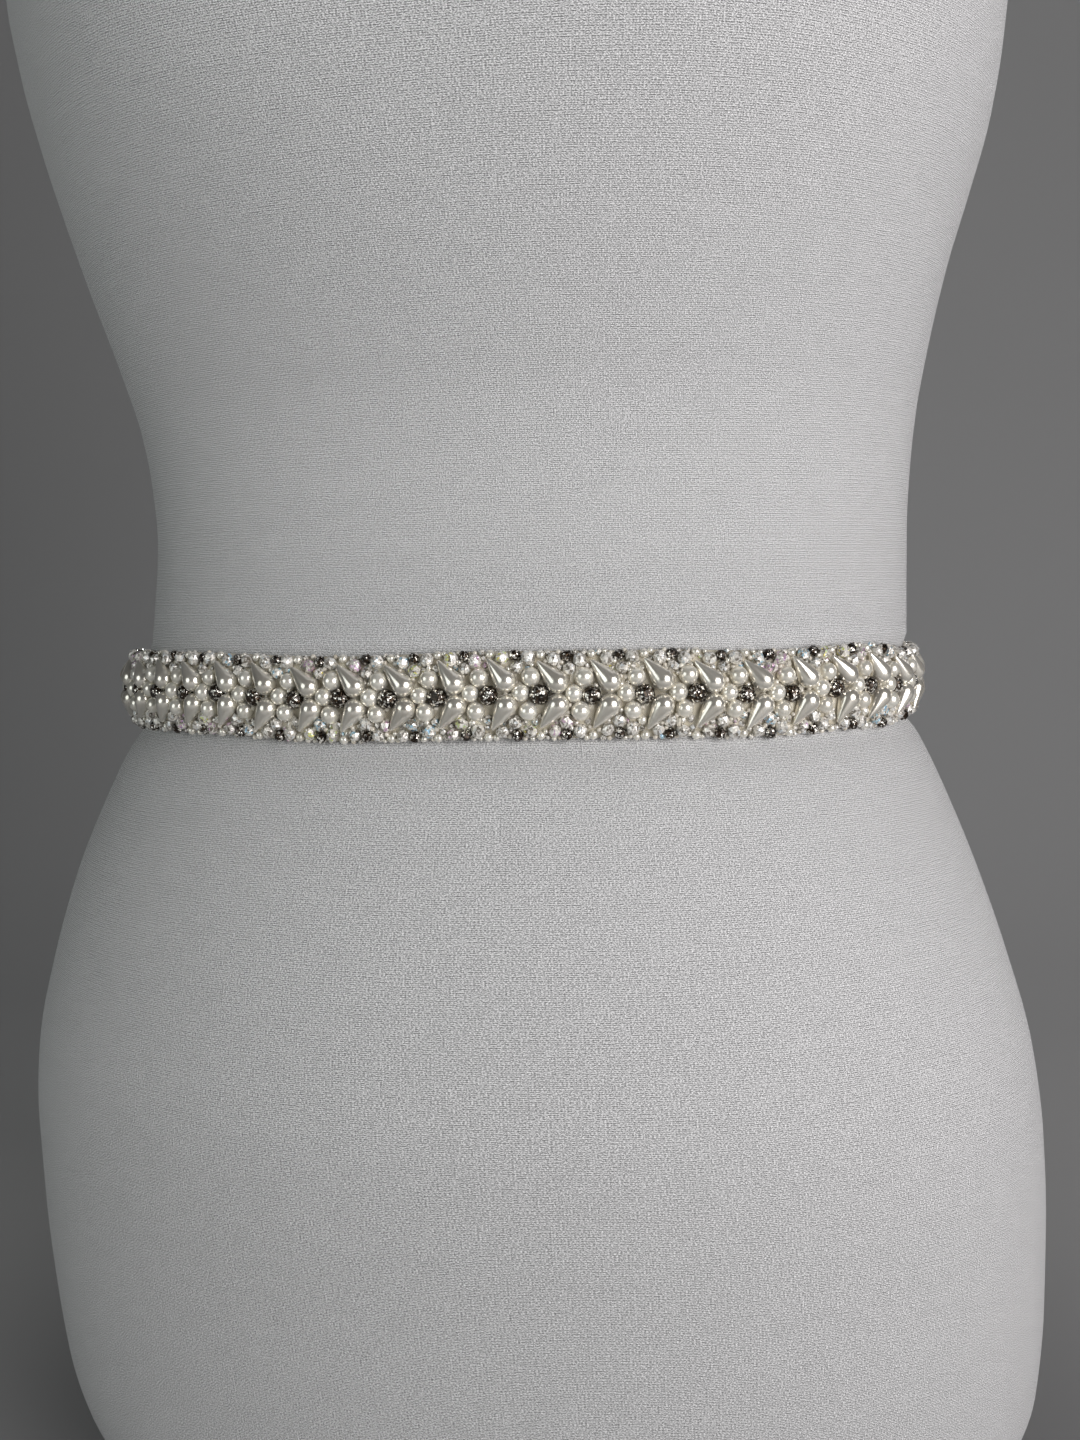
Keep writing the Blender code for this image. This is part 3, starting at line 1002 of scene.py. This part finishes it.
def cut_shape(name, around, polar_degrees):
    """A ball of radius 1 mm, cut in bands of triangles between two flat tables."""
    shell = bmesh.new()
    rings = []
    for band, degrees in enumerate(polar_degrees):
        polar = math.radians(degrees)
        rings.append(ring_of(shell, math.cos(polar), math.sin(polar), around, band / 2))
    for low, high in zip(rings, rings[1:]):
        for k in range(around):
            after = (k + 1) % around
            shell.faces.new((low[k], low[after], high[k]))
            shell.faces.new((low[after], high[after], high[k]))
    shell.faces.new(rings[0])
    shell.faces.new(rings[-1])
    bmesh.ops.recalc_face_normals(shell, faces=shell.faces)
    number = shell.faces.layers.float.new("facet")
    chance = np.random.default_rng(SEED)
    for face in shell.faces:
        face[number] = chance.uniform()
    return bead_shape(name, shell, False)


def teardrop_profile():
    """(x, radius) from near the round end's pole to the blunt tip."""
    taper = math.acos((TEARDROP_END_RADIUS - TEARDROP_TIP_RADIUS) / TEARDROP_TIP_DISTANCE)
    profile = []
    for i in range(1, TEARDROP_RINGS + 1):
        turn = math.pi - (math.pi - taper) * i / TEARDROP_RINGS
        x = TEARDROP_END_RADIUS * math.cos(turn)
        profile.append((x, TEARDROP_END_RADIUS * math.sin(turn)))
    start = profile[-1]
    end = (
        TEARDROP_TIP_DISTANCE + TEARDROP_TIP_RADIUS * math.cos(taper),
        TEARDROP_TIP_RADIUS * math.sin(taper),
    )
    for share in (0.2, 0.4, 0.6, 0.8):
        belly = TEARDROP_BELLY * math.sin(math.pi * share)
        x = start[0] + (end[0] - start[0]) * share
        profile.append((x, start[1] + (end[1] - start[1]) * share + belly))
    for part in (1.0, 0.55, 0.2):
        x = TEARDROP_TIP_DISTANCE + TEARDROP_TIP_RADIUS * math.cos(taper * part)
        profile.append((x, TEARDROP_TIP_RADIUS * math.sin(taper * part)))
    return profile


def join_rings(shell, rings):
    for low, high in zip(rings, rings[1:]):
        for k in range(len(low)):
            after = (k + 1) % len(low)
            shell.faces.new((low[k], low[after], high[after], high[k]))


def teardrop_shape(name, around=22):
    """A drop turned about X: a ball at the origin that narrows to a blunt tip."""
    shell = bmesh.new()
    rings = [ring_of(shell, x, radius, around) for x, radius in teardrop_profile()]
    join_rings(shell, rings)
    pole = shell.verts.new((-TEARDROP_END_RADIUS * MM, 0.0, 0.0))
    for k in range(around):
        shell.faces.new((pole, rings[0][(k + 1) % around], rings[0][k]))
    shell.faces.new(rings[-1])
    bmesh.ops.recalc_face_normals(shell, faces=shell.faces)
    return bead_shape(name, shell, True)


def stitch_shape(name, around=6, steps=7, radius=0.12, rise=0.24):
    """A thread 1 mm long along X, bowed outwards."""
    shell = bmesh.new()
    rings = []
    for i in range(steps + 1):
        share = i / steps
        ring = ring_of(shell, share - 0.5, radius, around)
        for corner in ring:
            corner.co.z += rise * math.sin(math.pi * share) * MM
        rings.append(ring)
    join_rings(shell, rings)
    shell.faces.new(rings[0])
    shell.faces.new(rings[-1])
    bmesh.ops.recalc_face_normals(shell, faces=shell.faces)
    return bead_shape(name, shell, True)


# ---- Geometry Nodes: one shape on each seat ----

Seat = namedtuple("Seat", "point turn scale shade")


class Setting(NodeMaker):
    """A Geometry Nodes tree that sets a shape on every point of a piece."""

    INPUTS = (
        ("Bead Shape", "NodeSocketObject"),
        ("Bead Size", "NodeSocketFloat"),
        ("Finish", "NodeSocketMaterial"),
    )

    def __init__(self, name):
        self.tree = bpy.data.node_groups.new(name, "GeometryNodeTree")
        add = self.tree.interface.new_socket
        add("Geometry", in_out="OUTPUT", socket_type="NodeSocketGeometry")
        add("Geometry", in_out="INPUT", socket_type="NodeSocketGeometry")
        self.sockets = {
            label: add(label, in_out="INPUT", socket_type=kind).identifier
            for label, kind in self.INPUTS
        }
        self.build()

    def seat(self, name):
        """What each point says of its own bead."""
        settings = {"data_type": "FLOAT_VECTOR"}
        node = self.node("GeometryNodeInputNamedAttribute", settings, {"Name": name})
        return node.outputs["Attribute"]

    def build(self):
        given = self.node("NodeGroupInput").outputs
        shape = self.node("GeometryNodeObjectInfo", None, {"Object": given["Bead Shape"]})
        turned = self.node("FunctionNodeEulerToRotation", None, {"Euler": self.seat("turn")})
        scale = {"Vector": self.seat("scale"), "Scale": given["Bead Size"]}
        size = self.node("ShaderNodeVectorMath", {"operation": "SCALE"}, scale)
        placed = {
            "Points": given["Geometry"],
            "Instance": shape.outputs["Geometry"],
            "Rotation": turned.outputs["Rotation"],
            "Scale": size.outputs["Vector"],
        }
        set_beads = self.node("GeometryNodeInstanceOnPoints", None, placed)
        instances = {"Geometry": set_beads.outputs["Instances"]}
        real = self.node("GeometryNodeRealizeInstances", None, instances)
        finished = {"Geometry": real.outputs["Geometry"], "Material": given["Finish"]}
        coloured = self.node("GeometryNodeSetMaterial", None, finished)
        self.node("NodeGroupOutput", None, {"Geometry": coloured.outputs["Geometry"]})


def set_out(name, shape, seats, material, setting, size=1.0):
    """A piece with the shape on each seat, as one plain mesh."""
    mesh = bpy.data.meshes.new(name)
    mesh.from_pydata([seat.point for seat in seats], [], [])
    vector, number = ("FLOAT_VECTOR", "vector"), ("FLOAT", "value")
    for label, (kind, field) in (("turn", vector), ("scale", vector), ("shade", number)):
        values = mesh.attributes.new(label, kind, "POINT")
        flat = np.array([getattr(seat, label) for seat in seats], dtype=np.float32).ravel()
        values.data.foreach_set(field, flat)
    points = linked(name + "_points", mesh)
    nodes = points.modifiers.new("setting", "NODES")
    nodes.node_group = setting.tree
    nodes[setting.sockets["Bead Shape"]] = shape
    nodes[setting.sockets["Bead Size"]] = size
    nodes[setting.sockets["Finish"]] = material
    graph = bpy.context.evaluated_depsgraph_get()
    made = bpy.data.meshes.new_from_object(points.evaluated_get(graph), depsgraph=graph)
    bpy.data.objects.remove(points)
    obj = linked(name, made)
    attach(obj, "root")
    return obj


def seat_matrix(along):
    """Turns a shape's X along the sash, its Y up and its Z outwards."""
    return Matrix(waist.axes(along)).transposed()


def round_seat(bead, chance, lift=BEAD_LIFT):
    """A round bead lies on the net, turned any way."""
    point = trim_point(bead.along, bead.up, NET_FACE + bead.radius + lift)
    turn = tuple(chance.uniform(0, TURN) for _ in range(3))
    return Seat(point, turn, (bead.radius,) * 3, chance.uniform(0, 1))


def seed_lift(bead, chance):
    """Threads hold the seeds well above the net between large beads, and low at its edges."""
    reach = TRIM_HALF_WIDTH * trim_width(bead.along)
    inward = ease_in((reach - bead.radius - abs(bead.up)) / SEED_CLIMB)
    return (SEED_LIFT + chance.uniform(*SEED_SLACK)) * inward + LOWEST_SEED


def stone_seat(bead, chance):
    """A stone's flat table faces nearly outwards."""
    tip = Matrix.Rotation(chance.normal(0, STONE_TIP), 3, "X")
    tip = tip @ Matrix.Rotation(chance.normal(0, STONE_TIP), 3, "Y")
    face_out = Matrix.Rotation(-math.pi / 2, 3, "Y")
    spin = Matrix.Rotation(chance.uniform(0, TURN), 3, "X")
    turn = (seat_matrix(bead.along) @ tip @ face_out @ spin).to_euler()
    point = trim_point(bead.along, bead.up, NET_FACE + bead.radius * STONE_LIFT)
    scale = (bead.radius * STONE_FLATNESS, bead.radius, bead.radius)
    return Seat(point, tuple(turn), scale, chance.uniform(0, 1))


def teardrop_seat(drop, chance):
    """The thread through a teardrop holds its axis nearly level with the net."""
    dip = math.radians(chance.normal(*TEARDROP_DIP))
    lie = Matrix.Rotation(drop.lean, 3, "Z") @ Matrix.Rotation(dip, 3, "Y")
    turn = (seat_matrix(drop.along) @ lie).to_euler()
    point = trim_point(drop.along, drop.up, NET_FACE + TEARDROP_END_RADIUS + TEARDROP_LIFT)
    return Seat(point, tuple(turn), (1.0, 1.0, 1.0), chance.uniform(0, 1))


def stitch_seat(along, point, lean, length):
    turn = (seat_matrix(along) @ Matrix.Rotation(lean, 3, "Z")).to_euler()
    return Seat(point, tuple(turn), (length, 1.0, 1.0), 0.5)


def loose_stitches(chance):
    """The sewing thread that shows on the net between beads."""
    made = []
    reach = TRIM_LENGTH / 2 - STITCH_END_MARGIN
    for _ in range(STITCHES_PER_REPEAT * REPEATS):
        along = chance.uniform(-reach, reach)
        up = chance.uniform(-STITCH_BAND, STITCH_BAND)
        lean = chance.normal(math.pi / 2, STITCH_LEAN)
        length = chance.uniform(*STITCH_LENGTHS)
        out = NET_FACE + chance.uniform(*STITCH_HEIGHTS)
        for thread in range(THREADS_PER_STITCH):
            aside = (thread - (THREADS_PER_STITCH - 1) / 2) * THREAD_SPACING
            beside, above = aside * math.sin(lean), -aside * math.cos(lean)
            point = trim_point(along + beside, up + above, out)
            made.append(stitch_seat(along + beside, point, lean, length))
    return made


def closing_stitches():
    """Slanted slip stitches over the folded end at the centre back."""
    fold = -(waist.around + RIBBON_LAP) / 2
    outer = ribbon_layers(fold + 1)[1] + CLOSING_LIFT
    along = fold + HEM_LENGTH - CLOSING_INSET
    ups = [CLOSING_SPACING * (i - CLOSING_STITCHES // 2) for i in range(CLOSING_STITCHES)]
    points = [waist.point(along, up, outer) for up in ups]
    return [stitch_seat(along, point, CLOSING_SLANT, CLOSING_LENGTH) for point in points]


def sort_fillers(fillers, chance):
    """Larger fillers are crystals, and smaller ones glass seeds or tiny pearls."""
    kinds = {"crystal": [], "small_pearl": [], "pearly_seed": [], "glassy_seed": []}
    for filler in fillers:
        pick = chance.uniform()
        if filler.radius > CRYSTAL_FROM:
            kinds["crystal" if pick < CRYSTAL_SHARE else "small_pearl"].append(filler)
        else:
            kinds["pearly_seed" if pick < PEARLY_SHARE else "glassy_seed"].append(filler)
    return kinds


def make_shapes():
    """Each kind of bead and the stitch, once."""
    return {
        "pearl": round_shape("pearl_shape", segments=24, rings=14),
        "small": round_shape("small_pearl_shape", segments=14, rings=9),
        "seed": round_shape("seed_shape", segments=8, rings=6),
        "teardrop": teardrop_shape("teardrop_shape"),
        "stone": cut_shape("stone_shape", 10, polar_degrees=(22, 46, 76, 104, 134, 158)),
        "crystal": cut_shape("crystal_shape", 8, polar_degrees=(26, 64, 116, 154)),
        "stitch": stitch_shape("stitch_shape"),
    }


def crystal_finishes():
    """The crystals' finishes, in the order of TINT_SHARES."""
    return [
        crystal_finish("clear_crystal", (0.95, 0.93, 0.88), (0.55, 0.62, 0.66), 0.15),
        crystal_finish("violet_crystal", (0.38, 0.24, 0.50), (0.88, 0.60, 0.66), 0.22),
        crystal_finish("blue_crystal", (0.22, 0.38, 0.60), (0.56, 0.84, 0.88), 0.22),
        crystal_finish("gold_crystal", (0.98, 0.68, 0.10), (0.46, 0.80, 0.50), 0.20),
    ]


def make_beadwork():
    """All the beads and stitches, sewn round the waist."""
    chance = np.random.default_rng(SEED)
    drops = lay_teardrops(chance)
    discs = teardrop_discs(drops)
    beads = press_apart(lay_beads(chance), discs)
    fillers = sort_fillers(fill_gaps(beads + discs, chance), chance)
    setting = Setting("bead_setting")
    pearl = pearl_finish("ivory_pearl", 0.5, (0.80, 0.765, 0.67), (0.97, 0.94, 0.85))
    drop_pearl = pearl_finish("ivory_teardrop", 0.7, (0.70, 0.665, 0.58), (0.90, 0.865, 0.78))
    dark, thread = dark_finish(), thread_finish()
    shapes = make_shapes()
    made = []

    def some(kind):
        return [bead for bead in beads if bead.kind == kind] + fillers.get(kind, [])

    def sew(name, shape, seats, finish):
        made.append(set_out(name, shapes[shape], seats, finish, setting))

    def sew_round(name, shape, chosen, finish):
        sew(name, shape, [round_seat(bead, chance) for bead in chosen], finish)

    def sew_seeds(name, kind, finish):
        seats = [round_seat(bead, chance, seed_lift(bead, chance)) for bead in some(kind)]
        sew(name, "seed", seats, finish)

    sew_round("round_pearls", "pearl", some("pearl"), pearl)
    sew_round("small_pearls", "small", some("small_pearl"), pearl)
    sew_round("dark_crystals", "crystal", some("dark_crystal"), dark)
    sew("teardrop_pearls", "teardrop", [teardrop_seat(drop, chance) for drop in drops], drop_pearl)
    sew("dark_stones", "stone", [stone_seat(bead, chance) for bead in some("stone")], dark)
    picks = chance.choice(len(TINT_SHARES), len(some("crystal")), p=TINT_SHARES)
    for number, finish in enumerate(crystal_finishes()):
        chosen = [bead for bead, pick in zip(some("crystal"), picks) if pick == number]
        sew_round(finish.name + "s", "crystal", chosen, finish)
    sew_seeds("pearly_seeds", "pearly_seed", pearl)
    sew_seeds("glassy_seeds", "glassy_seed", seed_finish())
    sew("bead_sewing", "stitch", loose_stitches(chance), thread)
    closing = set_out("closing_stitches", shapes["stitch"], closing_stitches(), thread, setting)
    for shape in shapes.values():
        bpy.data.objects.remove(shape)
    return made


# ---- floor, light and camera ----


def make_floor():
    """A pale floor that sweeps up behind into a plain wall. Its sizes are in metres."""
    half, front, back, bend, top, steps = 4.0, -3.2, 2.2, 1.6, 3.6, 16
    line = [(front, 0.0), (back - bend, 0.0)]
    for i in range(1, steps + 1):
        turn = math.pi / 2 * i / steps
        line.append((back - bend + bend * math.sin(turn), bend - bend * math.cos(turn)))
    line.append((back, top))
    points = [(x, y, z) for y, z in line for x in (-half, half)]
    faces = [(2 * i, 2 * i + 1, 2 * i + 3, 2 * i + 2) for i in range(len(line) - 1)]
    floor = piece("floor", points, faces, floor_finish())


# Round soft lamps, in degrees, metres and watts. Azimuth 0 is straight in front.
Lamp = namedtuple("Lamp", "name azimuth height distance size power colour aim_height spread")
LAMPS = [
    Lamp("left_light", -42.0, 0.54, 1.6, 1.09, 5.3, (0.95, 1.0, 0.985), 0.29, 180.0),
    Lamp("right_light", 48.0, 0.54, 1.6, 1.40, 24.8, (1.0, 0.975, 0.98), 0.29, 180.0),
    Lamp("back_light", 190.0, 0.48, 1.3, 0.35, 0.7, (1.0, 0.99, 0.98), 0.42, 50.0),
    Lamp("top_light", 0.0, 1.5, 0.0, 0.3, 0.24, (1.0, 0.99, 0.98), 0.29, 50.0),
]
ROOM_COLOUR = (0.95, 0.97, 1.0, 1.0)
ROOM_STRENGTH = 0.035


def make_light(lamp):
    data = bpy.data.lights.new(lamp.name, "AREA")
    data.shape = "DISK"
    data.size = lamp.size
    data.energy = lamp.power
    data.color = lamp.colour
    data.spread = math.radians(lamp.spread)
    light = linked(lamp.name, data)
    turn = math.radians(lamp.azimuth)
    aside, ahead = lamp.distance * math.sin(turn), -lamp.distance * math.cos(turn)
    light.location = (aside, ahead, lamp.height)
    aim = Vector((0.0, 0.0, lamp.aim_height)) - light.location
    light.rotation_euler = aim.to_track_quat("-Z", "Y").to_euler()
    light.visible_camera = False


def make_lights():
    for lamp in LAMPS:
        make_light(lamp)
    world = bpy.data.worlds.new("soft_room")
    world.use_nodes = True
    background = world.node_tree.nodes["Background"]
    background.inputs["Color"].default_value = ROOM_COLOUR
    background.inputs["Strength"].default_value = ROOM_STRENGTH
    bpy.context.scene.world = world
    bpy.context.scene.view_settings.view_transform = "Standard"


# The camera stands a little right of the front, just above the sash, and looks slightly
# down. Its angles are in radians.
CAMERA_TURN = 0.1694
CAMERA_SIDE = 7.28
CAMERA_DISTANCE = 515.0
CAMERA_ABOVE = 30.0
CAMERA_PITCH = 0.0856
CAMERA_ROLL = -0.0181
SENSOR_WIDTH = 36.0
IMAGE_WIDTH = 1080
FOCAL_PIXELS = 1499.0
NEAREST_SEEN = 10.0


def make_camera():
    lens = bpy.data.cameras.new("view")
    lens.sensor_fit = "HORIZONTAL"
    lens.sensor_width = SENSOR_WIDTH
    lens.lens = SENSOR_WIDTH * FOCAL_PIXELS / IMAGE_WIDTH
    lens.clip_start = NEAREST_SEEN * MM
    camera = linked("view", lens)
    turn = Matrix.Rotation(CAMERA_TURN, 4, "Z")
    place = Vector((CAMERA_SIDE, -CAMERA_DISTANCE, CAMERA_ABOVE)) * MM
    look = Matrix.Rotation(math.pi / 2 - CAMERA_PITCH, 4, "X")
    roll = Matrix.Rotation(CAMERA_ROLL, 4, "Z")
    raise_it = Matrix.Translation((0.0, 0.0, SASH_HEIGHT * MM))
    camera.matrix_world = raise_it @ turn @ Matrix.Translation(place) @ look @ roll
    bpy.context.scene.camera = camera


make_jersey_form(jersey_finish())
make_ribbon(satin_finish())
make_net(net_finish(), make_beadwork())
make_floor()
make_lights()
make_camera()
